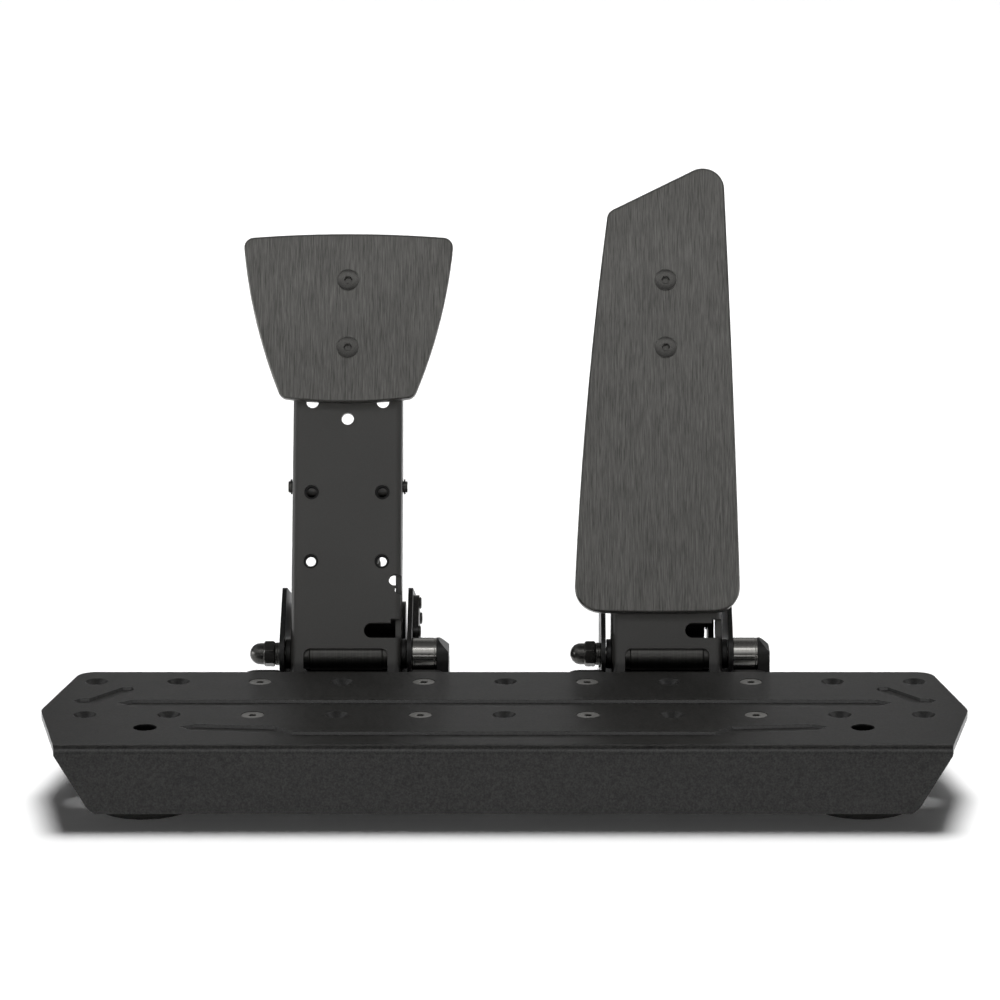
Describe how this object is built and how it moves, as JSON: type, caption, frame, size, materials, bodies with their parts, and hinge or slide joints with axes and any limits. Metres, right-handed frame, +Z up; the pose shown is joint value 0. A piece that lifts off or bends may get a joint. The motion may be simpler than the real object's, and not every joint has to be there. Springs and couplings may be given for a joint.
{
  "type": "sim racing pedal set",
  "caption": "Racing simulator pedal set: folded heel plate, trapezoid brake pad and tall throttle pad on tilted channel arms, each sprung on its own frame.",
  "frame": {"origin": "middle of the part's footprint, on the floor", "axes": "+X to the driver's right, +Y away from the driver, +Z up"},
  "size_m": [0.3876, 0.244, 0.2356],
  "materials": {
    "black_powder_coat": "satin powder coat",
    "satin_black_coat": "satin",
    "brushed_aluminium": "dark anodised, brushed along the pad",
    "steel": "turned and polished",
    "black_oxide_steel": "black oxide",
    "black_plastic": "fine grain",
    "rubber": "matt",
    "elastomer": "matt"
  },
  "bodies": {
    "base": {"base_plate": "black_powder_coat", "base_screws": "black_oxide_steel", "base_nuts": "black_oxide_steel", "front_feet": "rubber", "brake_frame": "black_powder_coat", "brake_frame_feet": "rubber", "brake_rear_bracket": "black_powder_coat", "brake_rear_bracket_screws": "black_oxide_steel", "brake_pivot_axle": "steel", "brake_axle_washer": "black_oxide_steel", "brake_acorn_nut": "black_oxide_steel", "brake_sensor_sleeve": "steel", "brake_sensor_housing": "black_plastic", "brake_sensor_screws": "black_oxide_steel", "brake_stop_pin": "black_oxide_steel", "brake_rear_pin": "black_oxide_steel", "brake_rear_pin_clips": "black_oxide_steel", "brake_side_plate": "black_powder_coat", "brake_side_screws": "black_oxide_steel", "throttle_frame": "black_powder_coat", "throttle_frame_feet": "rubber", "throttle_rear_bracket": "black_powder_coat", "throttle_rear_bracket_screws": "black_oxide_steel", "throttle_pivot_axle": "steel", "throttle_axle_washer": "black_oxide_steel", "throttle_acorn_nut": "black_oxide_steel", "throttle_sensor_sleeve": "steel", "throttle_sensor_housing": "black_plastic", "throttle_sensor_screws": "black_oxide_steel", "throttle_stop_pin": "black_oxide_steel", "throttle_rear_pin": "black_oxide_steel", "throttle_rear_pin_clips": "black_oxide_steel"},
    "brake_pedal": {"brake_arm": "satin_black_coat", "brake_arm_inserts": "black_oxide_steel", "brake_pad": "brushed_aluminium", "brake_pad_spacers": "satin_black_coat", "brake_pad_screws": "black_oxide_steel", "brake_pad_nuts": "black_oxide_steel", "brake_pivot_tube": "satin_black_coat", "brake_pivot_bushes": "black_plastic", "brake_cross_pin": "black_oxide_steel", "brake_cross_pin_clips": "black_oxide_steel"},
    "brake_plunger": {"brake_plunger": "satin_black_coat"},
    "brake_guide": {"brake_guide": "satin_black_coat", "brake_spring": "black_oxide_steel", "brake_bumper": "elastomer"},
    "throttle_pedal": {"throttle_arm": "satin_black_coat", "throttle_arm_inserts": "black_oxide_steel", "throttle_pad": "brushed_aluminium", "throttle_pad_spacers": "satin_black_coat", "throttle_pad_screws": "black_oxide_steel", "throttle_pad_nuts": "black_oxide_steel", "throttle_pivot_tube": "satin_black_coat", "throttle_pivot_bushes": "black_plastic", "throttle_cross_pin": "black_oxide_steel", "throttle_cross_pin_clips": "black_oxide_steel"},
    "throttle_plunger": {"throttle_plunger": "satin_black_coat"},
    "throttle_guide": {"throttle_guide": "satin_black_coat", "throttle_spring": "black_oxide_steel"}
  },
  "joints": [
    {"name": "brake_pedal_press", "type": "hinge", "parent": "base", "child": "brake_pedal", "pos_m": [-0.07, 0.02204, 0.0338], "axis": [-1, 0, 0], "range_deg": [0, 15], "stiffness_Nm_per_rad": 74, "springref_deg": -8.59, "deforming": ["brake_spring"]},
    {"name": "brake_guide_swing", "type": "hinge", "parent": "base", "child": "brake_guide", "pos_m": [-0.07, 0.10604, 0.0258], "axis": [-1, 0, 0], "range_deg": [0, 6]},
    {"name": "brake_plunger_swing", "type": "hinge", "parent": "brake_pedal", "child": "brake_plunger", "pos_m": [-0.07, 0.05402, 0.1012], "axis": [-1, 0, 0], "range_deg": [-9.3, 0]},
    {"name": "throttle_pedal_press", "type": "hinge", "parent": "base", "child": "throttle_pedal", "pos_m": [0.07, 0.02204, 0.0338], "axis": [-1, 0, 0], "range_deg": [0, 18], "stiffness_Nm_per_rad": 12.6, "springref_deg": -11.46, "deforming": ["throttle_spring"]},
    {"name": "throttle_guide_swing", "type": "hinge", "parent": "base", "child": "throttle_guide", "pos_m": [0.07, 0.10604, 0.0258], "axis": [-1, 0, 0], "range_deg": [0, 7.1]},
    {"name": "throttle_plunger_swing", "type": "hinge", "parent": "throttle_pedal", "child": "throttle_plunger", "pos_m": [0.07, 0.05402, 0.1012], "axis": [-1, 0, 0], "range_deg": [-11.2, 0]}
  ],
  "couplings": [
    {"joint": "brake_guide_swing", "follows": "brake_pedal_press", "ratio": 0.3913},
    {"joint": "brake_plunger_swing", "follows": "brake_pedal_press", "ratio": -0.6087},
    {"joint": "throttle_guide_swing", "follows": "throttle_pedal_press", "ratio": 0.3873},
    {"joint": "throttle_plunger_swing", "follows": "throttle_pedal_press", "ratio": -0.6127}
  ]
}
